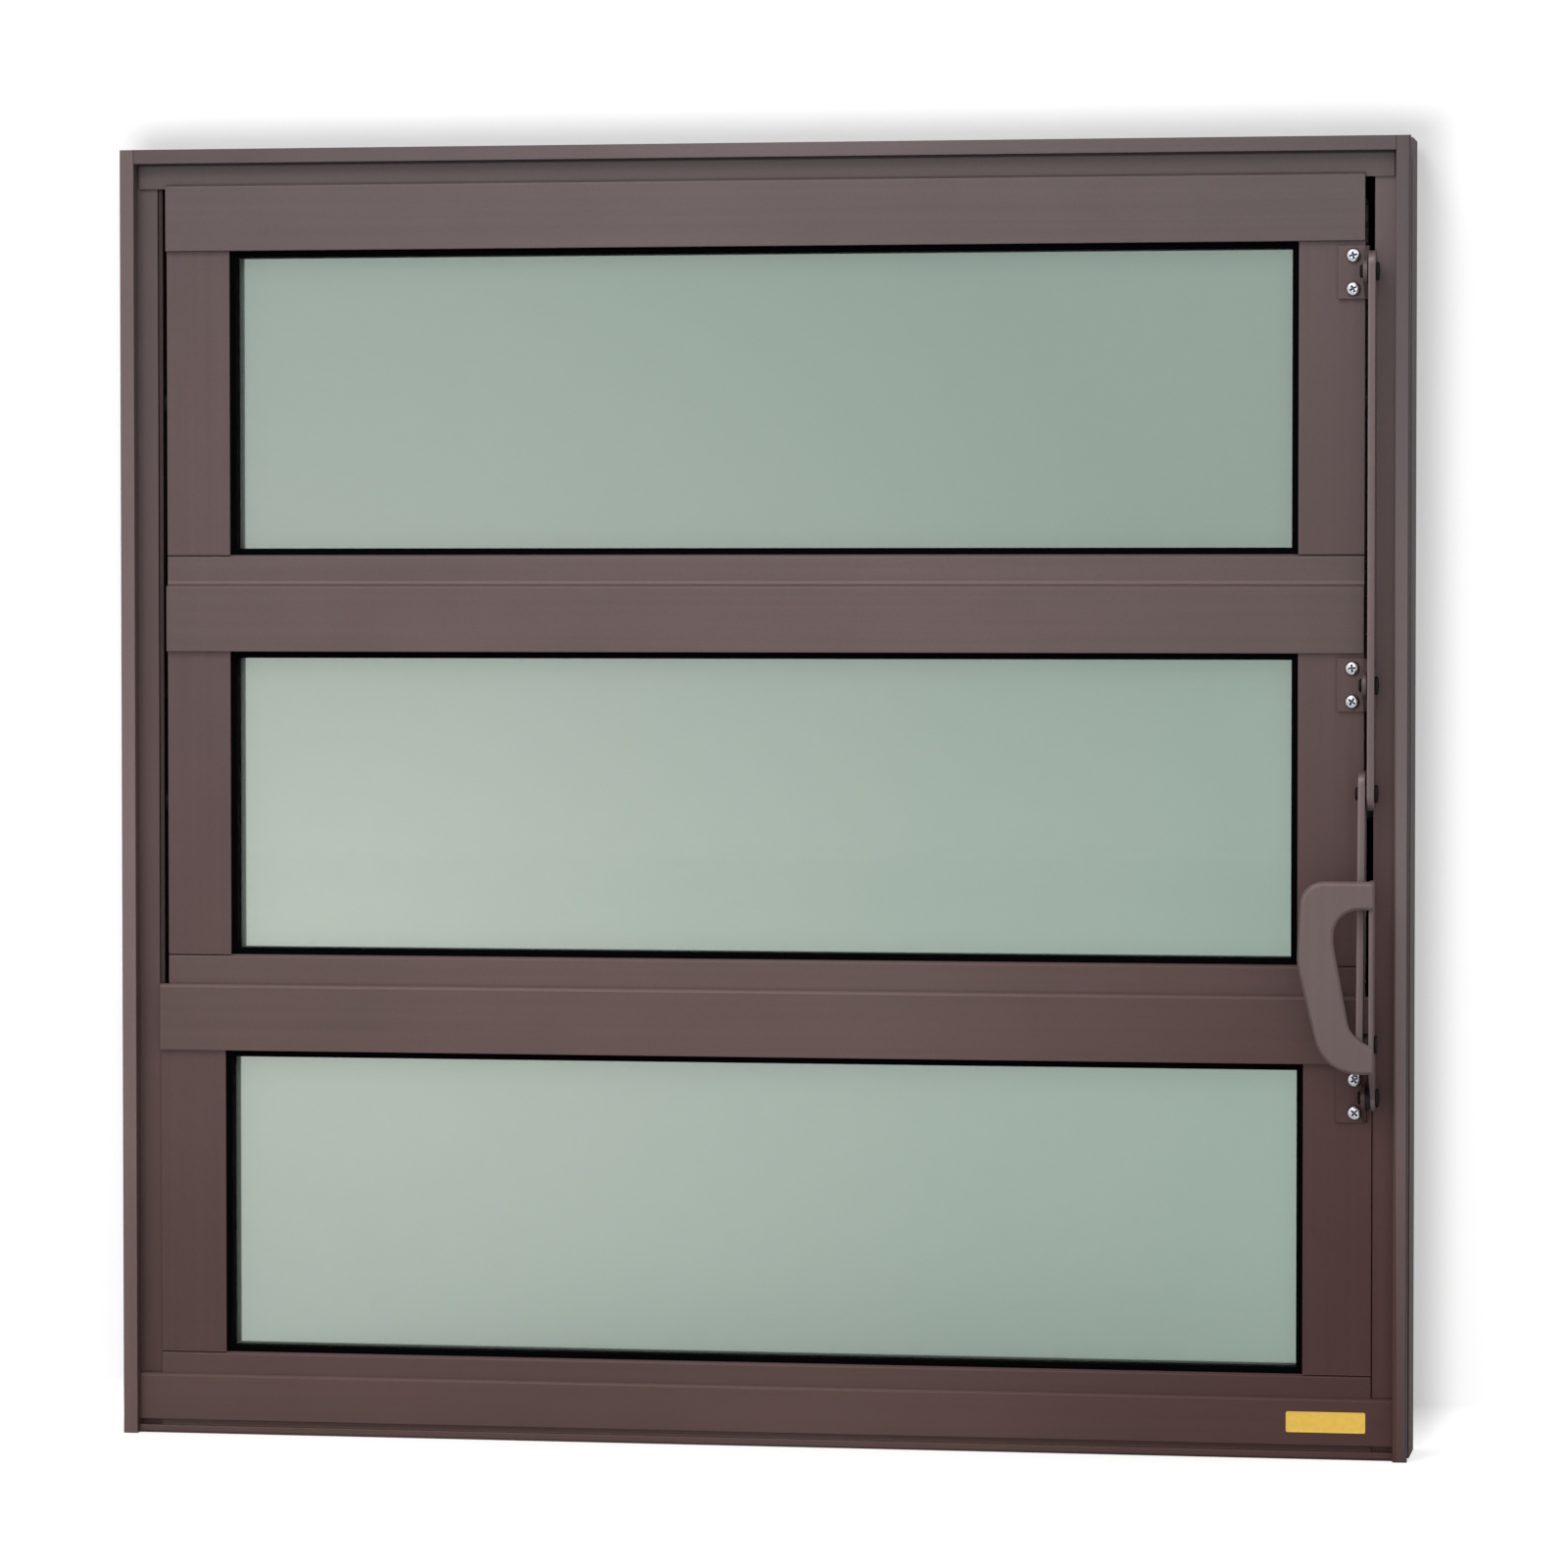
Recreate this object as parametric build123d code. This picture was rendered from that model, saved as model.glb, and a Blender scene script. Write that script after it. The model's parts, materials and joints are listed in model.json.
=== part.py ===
"""Horizontal pivot window with two tilting leaves over a fixed light, 600 x 600 mm.

X runs to the right as seen from the room, the room is at -Y, and Z is up.
The origin is the middle of the sill's flat underside.
Depths are measured from the front of the frame's flange and grow towards the outside.
"""
import os

from build123d import *

# Overall size of the frame
width = 600.0
height = 600.0
depth = 45.0

# Walls and clearances
wall = 1.5
running_gap = 0.05
seat_gap = 0.3
cut_past = 1.0
hidden_sides = 12

# Frame profile
flange = 6.5
reveal_depth = 8.0
jamb_face = 16.5
lip = 3.0
trim_groove_back = 15.0
stop_front = 6.5
stop_edge = 18.0
stop_end_gap = 1.0

# Sill profile
sill_height = 19.5
sill_upstand = 28.0
sill_nose_front = 3.5
sill_nose_bevel = 1.1
sill_groove_low = 3.7
sill_groove_top = 6.3
sill_groove_back = 7.0

# Leaf and fixed light profiles
leaf_front = 6.5
leaf_depth = 20.0
rail_step = 2.5
rail_body = 19.0
fin = 12.0
stile_face = 30.0
fixed_stile_face = 31.1
side_gap = 4.2
channel_depth = 7.5
bevel = 1.2

# Lights, from the top down
rail_gap = 7.0
first_leaf_top = 16.0
aperture_height = 141.5

# Glass and its seal
glass_thickness = 4.0
glass_bite = 6.0
seal_bite = 7.3
seal_face = 3.0

# Leaf pivots
pivot_pin = 6.0
bush_flange = 11.0
bush_spigot = 8.5
pin_reach = 8.0
bush_side_gap = 0.2
brush_depth = 4.0
brush_clearance = 0.2
brush_overlap = 2.0

# Brackets on the right stiles
plate_thickness = 2.0
bracket_height = 24.0
bracket_plate_width = 14.2
bracket_drop = 2.3
pin_ahead = 20.0
screw_pitch = 15.1
screw_head = 6.6
screw_head_height = 2.2
screw_shank = 3.5
screw_length = 12.0
screw_from_edge = 7.2
fixed_screw_from_edge = 5.6

# Linkage bars
bar_width = 12.0
bar_thickness = 3.2
thin_washer = 0.5
rod_washer = 0.8
handle_washer = 2.5
washer_diameter = 10.0
rivet = 4.0
rivet_head = 8.3
rivet_head_height = 1.5
shop_head = 6.0
shop_head_height = 1.8
coupler_tail = 48.9
coupler_top = 9.3
coupler_bottom = 7.7
rod_top = 10.4
stub_rise = 7.8
stub_diameter = 3.5
stub_proud = 0.5

# Handle
link_pin = 3.2
link_slack = 2.0
link_ahead = 9.4
link_above = 24.9
plate_ahead = 18.0
handle_plate = 4.0
handle_bevel = 1.2
leg_strip = 10.0
grip_top = 98.8
grip_arm = 12.8
grip_width = 34.2
grip_top_width = 32.4
grip_limb = 16.6
grip_knee = 61.8
grip_limb_rise = 8.1
grip_bottom = 12.1
grip_foot = 11.8
grip_heel = 22.4
grip_inner_heel = 10.3
grip_inner_heel_rise = 6.4
grip_corner = 10.8
grip_inner_corner = 11.5
grip_heel_round = 20.0
grip_inner_heel_round = 12.0
grip_knee_round = 30.0

# Derived places
half_width = width / 2
flange_inner = half_width - flange
jamb_inner = half_width - jamb_face
leaf_half = jamb_inner - side_gap
leaf_back = leaf_front + leaf_depth
rail_front = leaf_front - rail_step
leaf_height = 2 * rail_body + aperture_height
leaf_pitch = leaf_height + rail_gap
face_middle = (sill_nose_front + sill_nose_bevel + depth) / 2
pivot_depth = leaf_front + leaf_depth / 2
link_depth = pivot_depth - pin_ahead
fixed_top = height - first_leaf_top - fin - 2 * leaf_pitch
fixed_half = jamb_inner - seat_gap
leaf_opening = leaf_half - stile_face
fixed_opening = fixed_half - fixed_stile_face
fixed_aperture = fixed_top - 2 * rail_body - sill_height
tab_x = leaf_half
tab_outer = tab_x + plate_thickness
bar_x = tab_outer + thin_washer
bar_outer = bar_x + bar_thickness
rod_outer = bar_x - rod_washer
rod_x = rod_outer - bar_thickness
leg_x = tab_outer + handle_washer
leg_outer = leg_x + plate_thickness


def y_at(d):
    """Y of a depth behind the front of the flange."""
    return d - face_middle


def leaf_top(index):
    """Height of the top of a leaf's body."""
    return height - first_leaf_top - fin - index * leaf_pitch


def pivot_height(index):
    return leaf_top(index) - leaf_height / 2


def pin_height(light_top):
    """Height of the bracket's pin under a light's top rail."""
    return light_top - rail_body - bracket_drop - bracket_height / 2


def along_x(section, x0, x1):
    """Solid from a closed outline of (depth, height) points, between two X values."""
    outline = Polyline(*[(x0, y_at(d), z) for d, z in section], close=True)
    return extrude(make_face(outline), amount=x1 - x0, dir=(1, 0, 0))


def along_z(section, z0, z1):
    """Solid from a closed outline of (X, depth) points, between two heights."""
    outline = Polyline(*[(x, y_at(d), z0) for x, d in section], close=True)
    return extrude(make_face(outline), amount=z1 - z0, dir=(0, 0, 1))


def block(x0, x1, d0, d1, z0, z1):
    centre = Pos((x0 + x1) / 2, y_at((d0 + d1) / 2), (z0 + z1) / 2)
    return centre * Box(abs(x1 - x0), d1 - d0, z1 - z0)


def rod_along_x(x0, x1, d, z, diameter):
    """Round bar along X between two X values."""
    place = Pos((x0 + x1) / 2, y_at(d), z) * Rot(0, 90, 0)
    return place * Cylinder(diameter / 2, abs(x1 - x0))


def rod_along_y(x, d0, d1, z, diameter):
    """Round bar along Y between two depths."""
    place = Pos(x, y_at((d0 + d1) / 2), z) * Rot(90, 0, 0)
    return place * Cylinder(diameter / 2, d1 - d0)


def peg_along_y(x, d0, d1, z, diameter):
    """Peg, or its hole, along Y between two depths, with flat sides as it stays out of sight."""
    place = Pos(x, y_at(d1), z) * Rot(90, 0, 0)
    return place * extrude(RegularPolygon(diameter / 2, hidden_sides), amount=d1 - d0)


def peg_along_x(x0, x1, d, z, diameter):
    """The same along X between two X values."""
    place = Pos(x0, y_at(d), z) * Rot(0, 90, 0)
    return place * extrude(RegularPolygon(diameter / 2, hidden_sides), amount=x1 - x0)


def mirrored(part):
    return mirror(part, about=Plane.YZ)


def frame_outline():
    """Outer line of the frame extrusion as (inward distance, depth) points."""
    throat = flange - wall
    return [
        (0, 0), (flange, 0), (flange, reveal_depth), (jamb_face, reveal_depth),
        (jamb_face, depth), (0, depth), (0, trim_groove_back),
        (throat, trim_groove_back), (throat, wall), (wall, wall), (wall, lip), (0, lip),
    ]


def frame_cell():
    """Hollow of the frame extrusion as (inward distance, depth) points."""
    back = depth - wall
    shoulder = trim_groove_back + wall
    front = reveal_depth + wall
    inner = jamb_face - wall
    return [(wall, shoulder), (flange, shoulder), (flange, front), (inner, front),
            (inner, back), (wall, back)]


def frame_jamb():
    """Right jamb, full height, with holes for the leaf pivots."""
    outer = [(half_width - u, d) for u, d in frame_outline()]
    cell = [(half_width - u, d) for u, d in frame_cell()]
    jamb = along_z(outer, 0, height) - along_z(cell, 0, height)
    for index in range(2):
        hole_end = jamb_inner + 2 * wall
        jamb -= peg_along_x(jamb_inner - cut_past, hole_end, pivot_depth, pivot_height(index), bush_spigot)
    return jamb


def frame_head():
    """Head between the jambs, with the stop strip that the top leaf closes on."""
    outer = [(d, height - u) for u, d in frame_outline()]
    cell = [(d, height - u) for u, d in frame_cell()]
    body = along_x(outer, -jamb_inner, jamb_inner) - along_x(cell, -jamb_inner, jamb_inner)
    throat = flange - wall
    nose = [(0, 0), (0, flange), (reveal_depth, flange), (reveal_depth, throat),
            (wall, throat), (wall, wall), (lip, wall), (lip, 0)]
    front = along_x([(d, height - u) for d, u in nose], -flange_inner, flange_inner)
    stop_half = flange_inner - stop_end_gap
    stop = block(-stop_half, stop_half, stop_front, reveal_depth, height - stop_edge, height - flange)
    return body + front + stop


def frame_sill():
    """Sill between the jambs, with its nose, groove and upstand at the front."""
    web = sill_nose_front + wall
    back = web + wall
    front = along_x(
        [(sill_nose_front + sill_nose_bevel, 0), (sill_nose_front, sill_nose_bevel),
         (sill_nose_front, sill_groove_low), (web, sill_groove_low), (web, sill_upstand - bevel),
         (web + bevel, sill_upstand), (back, sill_upstand), (back, 0)],
        -flange_inner, flange_inner)
    body = block(-jamb_inner, jamb_inner, back, depth, 0, sill_height)
    body -= block(-jamb_inner, jamb_inner, back + wall, depth - wall, wall, sill_height - wall)
    groove = block(-flange_inner, flange_inner, sill_nose_front, sill_groove_back,
                   sill_groove_low, sill_groove_top)
    return front + body - groove


def rail_section(top, direction):
    """Outline and hollow of a rail that hangs from, or stands on, the line at top."""
    back = leaf_back - wall
    channel_front = leaf_front + wall
    channel = rail_body - channel_depth
    line = [(rail_front + bevel, -fin), (rail_front, bevel - fin),
            (rail_front, rail_body), (channel_front, rail_body), (channel_front, channel),
            (back, channel), (back, rail_body), (leaf_back - bevel, rail_body),
            (leaf_back, rail_body - bevel), (leaf_back, 0),
            (rail_front + wall, 0), (rail_front + wall, -fin)]
    hollow = [(rail_front + wall, wall), (rail_front + wall, channel - wall),
              (back, channel - wall), (back, wall)]
    if direction < 0:
        flip = leaf_front + leaf_back
        line = [(flip - d, v) for d, v in line]
        hollow = [(flip - d, v) for d, v in hollow]
    return [[(d, top - direction * v) for d, v in points] for points in (line, hollow)]


def finned_rail(top, direction, half):
    """Hollow rail with its weather fin: direction 1 hangs down from top, -1 stands up."""
    line, hollow = rail_section(top, direction)
    return along_x(line, -half, half) - along_x(hollow, -half, half)


def stile(bottom, aperture, half, inner):
    """Right stile between the rails, from the edge of the opening to the light's own edge."""
    front = leaf_front + wall
    back = leaf_back - wall
    channel = inner + channel_depth
    line = [(half, leaf_front), (half, leaf_back), (inner, leaf_back), (inner, back),
            (channel, back), (channel, front), (inner, front), (inner, leaf_front)]
    hollow = [(half - wall, front), (half - wall, back), (channel + wall, back), (channel + wall, front)]
    return along_z(line, bottom, bottom + aperture) - along_z(hollow, bottom, bottom + aperture)


def pane(opening, bottom, aperture, bite, d0, d1):
    """Plate that fills the aperture of a light and reaches into its channels."""
    half = opening + bite
    return block(-half, half, d0, d1, bottom - bite, bottom + aperture + bite)


def glass(opening, bottom, aperture):
    front = pivot_depth - glass_thickness / 2
    return pane(opening, bottom, aperture, glass_bite, front, front + glass_thickness)


def gasket(opening, bottom, aperture):
    """Seal that grips the glass all round and shows as a dark line inside the frame."""
    front = leaf_front + wall
    back = leaf_back - wall
    ring = pane(opening, bottom, aperture, seal_bite, front, back)
    ring -= pane(opening, bottom, aperture, -seal_face, front - cut_past, back + cut_past)
    return ring - glass(opening, bottom, aperture)


def screw_heights(z):
    """Heights of a bracket's two screws, below and above its pin."""
    return z - screw_pitch / 2, z + screw_pitch / 2


def bracket(light_top, from_edge):
    """Folded plate on the right stile, with a tab that carries the link pin."""
    z = pin_height(light_top)
    low = z - bracket_height / 2
    high = low + bracket_height
    front = leaf_front - plate_thickness
    radius = bar_width / 2
    folded = block(tab_outer - bracket_plate_width, tab_outer, front, leaf_front, low, high)
    folded += along_x([(leaf_front, low), (leaf_front, high), (front, high),
                       (link_depth, z + radius), (link_depth, z - radius), (front, low)], tab_x, tab_outer)
    folded += rod_along_x(tab_x, tab_outer, link_depth, z, bar_width)
    folded -= rod_along_x(tab_x - cut_past, tab_outer + cut_past, link_depth, z, rivet + 2 * running_gap)
    screw_x = tab_outer - from_edge
    for hole_z in screw_heights(z):
        folded -= peg_along_y(screw_x, front - cut_past, leaf_front + cut_past, hole_z, screw_shank)
    return folded


def bracket_screws(light_top, from_edge):
    """Two pan-head screws that hold the bracket to the stile."""
    z = pin_height(light_top)
    x = tab_outer - from_edge
    face = leaf_front - plate_thickness
    pair = []
    for hole_z in screw_heights(z):
        head = rod_along_y(x, face - screw_head_height, face, hole_z, screw_head)
        pair.append(head + peg_along_y(x, face, face + screw_length, hole_z, screw_shank))
    return pair


def screw_holes(light_top, from_edge):
    """Holes in the stile's front wall for the bracket's screws."""
    x = tab_outer - from_edge
    front = leaf_front - cut_past
    back = leaf_front + wall + cut_past
    return [peg_along_y(x, front, back, z, screw_shank) for z in screw_heights(pin_height(light_top))]


def pin_hole(index):
    """Hole for the pivot pin in a leaf's right stile."""
    z = pivot_height(index)
    return rod_along_x(leaf_half - 2 * wall, leaf_half + cut_past, pivot_depth, z, pivot_pin)


def leaf_stile_right(index):
    top = leaf_top(index)
    bottom = top - rail_body - aperture_height
    part = stile(bottom, aperture_height, leaf_half, leaf_opening)
    part -= pin_hole(index)
    for hole in screw_holes(top, screw_from_edge):
        part -= hole
    return part


def leaf_stile_left(index):
    bottom = leaf_top(index) - rail_body - aperture_height
    return mirrored(stile(bottom, aperture_height, leaf_half, leaf_opening) - pin_hole(index))


def pivot_pins(index):
    """Pins on both sides of a leaf, from inside its stile to inside the jamb."""
    z = pivot_height(index)
    right = rod_along_x(leaf_half - pin_reach, jamb_inner + pin_reach, pivot_depth, z, pivot_pin)
    return [right, mirrored(right)]


def pivot_bushes():
    """Flanged bushes in the jambs that the leaf pins turn in."""
    bushes = []
    for index in range(2):
        z = pivot_height(index)
        collar = rod_along_x(leaf_half + bush_side_gap, jamb_inner, pivot_depth, z, bush_flange)
        spigot = peg_along_x(jamb_inner, jamb_inner + 2 * wall, pivot_depth, z, bush_spigot)
        right = collar + spigot
        right -= rod_along_x(leaf_half, jamb_inner + 3 * wall, pivot_depth, z, pivot_pin + 2 * running_gap)
        bushes += [right, mirrored(right)]
    return bushes


def frame_brushes():
    """Pile strips on the jambs, beside the leaves, and on the head, behind the top one."""
    top = height - jamb_face
    right = block(leaf_half + brush_clearance, jamb_inner, leaf_back - brush_depth, leaf_back,
                  fixed_top, top)
    front = leaf_back + brush_clearance
    over = block(-jamb_inner, jamb_inner, front, front + brush_depth, leaf_top(0) - brush_overlap, top)
    return [right, mirrored(right), over]


def flat_bar(x0, x1, d_top, z_top, d_bottom, z_bottom, above, below):
    """Flat bar with rounded ends that runs through two points in the YZ plane."""
    radius = bar_width / 2
    run = Vector(0, d_bottom - d_top, z_bottom - z_top)
    unit = run.normalized()
    side = Vector(0, -unit.Z, unit.Y) * radius
    start = Vector(x0, y_at(d_top), z_top) - unit * (above - radius)
    end = Vector(x0, y_at(d_bottom), z_bottom) + unit * (below - radius)
    outline = Wire([
        Line(start + side, end + side),
        ThreePointArc(end + side, end + unit * radius, end - side),
        Line(end - side, start - side),
        ThreePointArc(start - side, start - unit * radius, start + side),
    ])
    return extrude(make_face(outline), amount=x1 - x0, dir=(1, 0, 0))


top_pin = pin_height(leaf_top(0))
low_pin = pin_height(leaf_top(1))
coupler_end = low_pin - coupler_tail
handle_pivot = pin_height(fixed_top)
link_depth_rod = link_depth - link_ahead
link_height = handle_pivot + link_above


def coupler_bar():
    """Upright bar that ties both leaves together."""
    bar = flat_bar(
        bar_x, bar_outer, link_depth, top_pin, link_depth, coupler_end, coupler_top, coupler_bottom)
    for z in (top_pin, low_pin, coupler_end):
        bar -= rod_along_x(bar_x - cut_past, bar_outer + cut_past, link_depth, z, rivet)
    return bar


def riveted(x_left, x_right, d, z, diameter):
    """Rivet with its made head on the right and its shop head on the left."""
    shank = rod_along_x(x_left - running_gap, x_right, d, z, diameter)
    made = rod_along_x(x_right, x_right + rivet_head_height, d, z, rivet_head)
    shop_right = x_left - running_gap
    shop = rod_along_x(shop_right - shop_head_height, shop_right, d, z, shop_head)
    return shank + made + shop


def washer(x0, x1, d, z, bore):
    disc = rod_along_x(x0, x1, d, z, washer_diameter)
    return disc - rod_along_x(x0 - cut_past, x1 + cut_past, d, z, bore)


def coupler_rivets():
    pins = [riveted(tab_x, bar_outer, link_depth, z, rivet) for z in (top_pin, low_pin)]
    pins.append(riveted(rod_x, bar_outer, link_depth, coupler_end, rivet))
    return pins


def coupler_washers():
    """Washers between the coupler bar and what it is pinned to."""
    discs = [washer(tab_outer + running_gap, bar_x, link_depth, z, rivet) for z in (top_pin, low_pin)]
    discs.append(washer(rod_outer + running_gap, bar_x, link_depth, coupler_end, rivet))
    return discs


def connecting_rod():
    """Bar from the coupler down to the handle, with the stop stub on its side."""
    rod = flat_bar(
        rod_x, rod_outer, link_depth, coupler_end, link_depth_rod, link_height, rod_top, bar_width / 2)
    rod += rod_along_x(rod_x, rod_outer + stub_proud, link_depth, coupler_end + stub_rise, stub_diameter)
    left = rod_x - cut_past
    right = rod_outer + cut_past
    rod -= rod_along_x(left, right, link_depth, coupler_end, rivet + 2 * running_gap)
    rod -= rod_along_x(left, right, link_depth_rod, link_height, link_pin + 2 * link_slack)
    return rod


def handle_plate_face():
    """Front view of the grip: a D with a slanted lower limb, in X and height."""
    x = leg_outer
    low = handle_pivot + grip_bottom
    foot = low + grip_foot
    high = handle_pivot + grip_top
    under_arm = high - grip_arm
    knee = handle_pivot + grip_knee
    inner = x - grip_width + grip_limb
    outer_line = FilletPolyline(
        (x, high), (x - grip_top_width, high), (x - grip_width, knee), (x - grip_heel, low), (x, low),
        radius=[grip_corner, grip_knee_round, grip_heel_round])
    inner_line = FilletPolyline(
        (x, foot), (x - grip_inner_heel, foot + grip_inner_heel_rise),
        (inner, knee + grip_limb_rise), (inner, under_arm), (x, under_arm),
        radius=[grip_inner_heel_round, grip_knee_round, grip_inner_corner])
    ends = [Line((x, low), (x, foot)), Line((x, under_arm), (x, high))]
    return make_face(Wire(outer_line.edges() + inner_line.edges() + ends))


def handle():
    """Grip plate with the leg that turns on the fixed bracket and pulls the rod."""
    back = link_depth - plate_ahead
    front = back - handle_plate
    flat = Pos(0, y_at(back), 0) * Rot(90, 0, 0) * handle_plate_face()
    grip = extrude(flat, amount=handle_plate, dir=(0, -1, 0))
    rim = grip.faces().sort_by(Axis.Y)[0].outer_wire().edges()
    free_rim = [edge for edge in rim if edge.center().X < leg_outer - wall]
    grip = chamfer(free_rim, handle_bevel)
    radius = bar_width / 2
    inside = back - handle_plate / 4
    high = handle_pivot + grip_top
    leg = along_x(
        [(link_depth - radius, handle_pivot), (inside, handle_pivot + grip_bottom), (inside, high),
         (back + leg_strip, high), (back + leg_strip, link_height + radius),
         (link_depth_rod + radius, link_height), (link_depth + radius, handle_pivot)],
        leg_x, leg_outer)
    leg += rod_along_x(leg_x, leg_outer, link_depth, handle_pivot, bar_width)
    leg += rod_along_x(leg_x, leg_outer, link_depth_rod, link_height, bar_width)
    whole = grip + leg
    whole -= rod_along_x(leg_x - cut_past, leg_outer + cut_past, link_depth, handle_pivot, rivet)
    whole -= rod_along_x(leg_x - cut_past, leg_outer + cut_past, link_depth_rod, link_height, link_pin)
    return whole


def handle_rivets():
    pivot = riveted(tab_x, leg_outer, link_depth, handle_pivot, rivet)
    link = riveted(rod_x, leg_outer, link_depth_rod, link_height, link_pin)
    return [pivot, link]


def handle_washers():
    pivot = washer(tab_outer + running_gap, leg_x, link_depth, handle_pivot, rivet)
    link = washer(rod_outer + running_gap, leg_x, link_depth_rod, link_height, link_pin)
    return [pivot, link]


def plain_rail(bottom, half):
    """Bottom rail of the fixed light, without a fin."""
    front = leaf_front + wall
    back = leaf_back - wall
    channel = rail_body - channel_depth
    top = bottom + rail_body
    line = [(leaf_front, bottom), (leaf_front, top - bevel), (leaf_front + bevel, top),
            (front, top), (front, bottom + channel),
            (back, bottom + channel), (back, top), (leaf_back, top), (leaf_back, bottom)]
    hollow = [(front, bottom + wall), (front, bottom + channel - wall),
              (back, bottom + channel - wall), (back, bottom + wall)]
    return along_x(line, -half, half) - along_x(hollow, -half, half)


def fixed_light():
    """Pieces of the fixed light by node name."""
    bottom = sill_height + rail_body
    right = stile(bottom, fixed_aperture, fixed_half, fixed_opening)
    left = mirrored(right)
    for hole in screw_holes(fixed_top, fixed_screw_from_edge):
        right -= hole
    return {
        "fixed_top_rail": finned_rail(fixed_top, 1, fixed_half),
        "fixed_bottom_rail": plain_rail(sill_height, fixed_half),
        "fixed_stile_left": left,
        "fixed_stile_right": right,
        "fixed_glass": glass(fixed_opening, bottom, fixed_aperture),
        "fixed_gasket": gasket(fixed_opening, bottom, fixed_aperture),
        "fixed_bracket": bracket(fixed_top, fixed_screw_from_edge),
        "fixed_bracket_screws": bracket_screws(fixed_top, fixed_screw_from_edge),
    }


def leaf(index):
    """Pieces of one tilting leaf by node name."""
    name = f"leaf_{index + 1}_"
    top = leaf_top(index)
    bottom = top - rail_body - aperture_height
    return {
        name + "top_rail": finned_rail(top, 1, leaf_half),
        name + "bottom_rail": finned_rail(bottom - rail_body, -1, leaf_half),
        name + "stile_left": leaf_stile_left(index),
        name + "stile_right": leaf_stile_right(index),
        name + "glass": glass(leaf_opening, bottom, aperture_height),
        name + "gasket": gasket(leaf_opening, bottom, aperture_height),
        name + "bracket": bracket(top, screw_from_edge),
        name + "bracket_screws": bracket_screws(top, screw_from_edge),
        name + "pivot_pins": pivot_pins(index),
    }


def all_nodes():
    jamb = frame_jamb()
    nodes = {
        "frame_head": frame_head(),
        "frame_sill": frame_sill(),
        "frame_jamb_left": mirrored(jamb),
        "frame_jamb_right": jamb,
        "pivot_bushes": pivot_bushes(),
        "frame_brushes": frame_brushes(),
    }
    nodes.update(fixed_light())
    for index in range(2):
        nodes.update(leaf(index))
    nodes.update({
        "coupler_bar": coupler_bar(),
        "coupler_rivets": coupler_rivets(),
        "coupler_washers": coupler_washers(),
        "connecting_rod": connecting_rod(),
        "handle": handle(),
        "handle_rivets": handle_rivets(),
        "handle_washers": handle_washers(),
    })
    return nodes


os.makedirs("parts", exist_ok=True)
for name, part in all_nodes().items():
    solids = part if isinstance(part, list) else [part]
    export_step(Compound(children=solids) if len(solids) > 1 else solids[0], f"parts/{name}.step")
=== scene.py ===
"""Looks of a small bronze pivot window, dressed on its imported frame. Metres, room at -Y, Z up."""

import json
import math
import random

import bmesh
import bpy
from mathutils import Matrix, Vector

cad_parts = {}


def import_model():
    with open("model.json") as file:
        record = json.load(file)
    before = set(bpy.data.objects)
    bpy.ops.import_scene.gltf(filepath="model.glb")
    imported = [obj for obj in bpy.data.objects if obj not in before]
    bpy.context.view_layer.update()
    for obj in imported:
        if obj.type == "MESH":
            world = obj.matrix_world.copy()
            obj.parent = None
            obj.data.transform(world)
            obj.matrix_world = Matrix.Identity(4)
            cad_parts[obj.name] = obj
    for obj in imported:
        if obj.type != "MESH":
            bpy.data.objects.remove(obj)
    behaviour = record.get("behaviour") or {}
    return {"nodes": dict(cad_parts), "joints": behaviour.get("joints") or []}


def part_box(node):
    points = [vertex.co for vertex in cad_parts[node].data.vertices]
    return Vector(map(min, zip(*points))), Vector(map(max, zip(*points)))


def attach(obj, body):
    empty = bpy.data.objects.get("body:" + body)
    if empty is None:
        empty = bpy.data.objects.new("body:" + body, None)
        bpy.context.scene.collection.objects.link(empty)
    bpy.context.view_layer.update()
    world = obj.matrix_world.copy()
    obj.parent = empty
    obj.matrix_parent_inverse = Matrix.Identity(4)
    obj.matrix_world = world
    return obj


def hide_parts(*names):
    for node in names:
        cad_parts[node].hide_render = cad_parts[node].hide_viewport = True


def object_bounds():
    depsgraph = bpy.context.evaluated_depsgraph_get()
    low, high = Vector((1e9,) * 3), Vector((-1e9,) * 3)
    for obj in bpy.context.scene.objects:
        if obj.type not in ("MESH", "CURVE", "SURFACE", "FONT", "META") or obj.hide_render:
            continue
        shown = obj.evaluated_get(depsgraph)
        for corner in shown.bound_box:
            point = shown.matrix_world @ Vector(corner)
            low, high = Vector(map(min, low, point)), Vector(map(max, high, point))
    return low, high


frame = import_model()
cad_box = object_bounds()
nodes = frame["nodes"]
joints = {joint["name"]: Vector(joint["pos_m"]) for joint in frame["joints"]}
random.seed(7)
MM = 0.001

# Photograph: 1600 pixels square, camera to the right of the window and a little above its middle
PHOTO_PIXELS = 1600
FOCAL_PIXELS = 6330.7
SENSOR_WIDTH = 36.0
CAMERA_PLACE = Vector((0.4882, -2.83185, 0.3986))
CAMERA_YAW = 0.16735
CAMERA_PITCH = -0.03245
LABEL_TOP_LEFT = (1312, 1440)
LABEL_BOTTOM_RIGHT = (1393, 1463)

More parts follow.
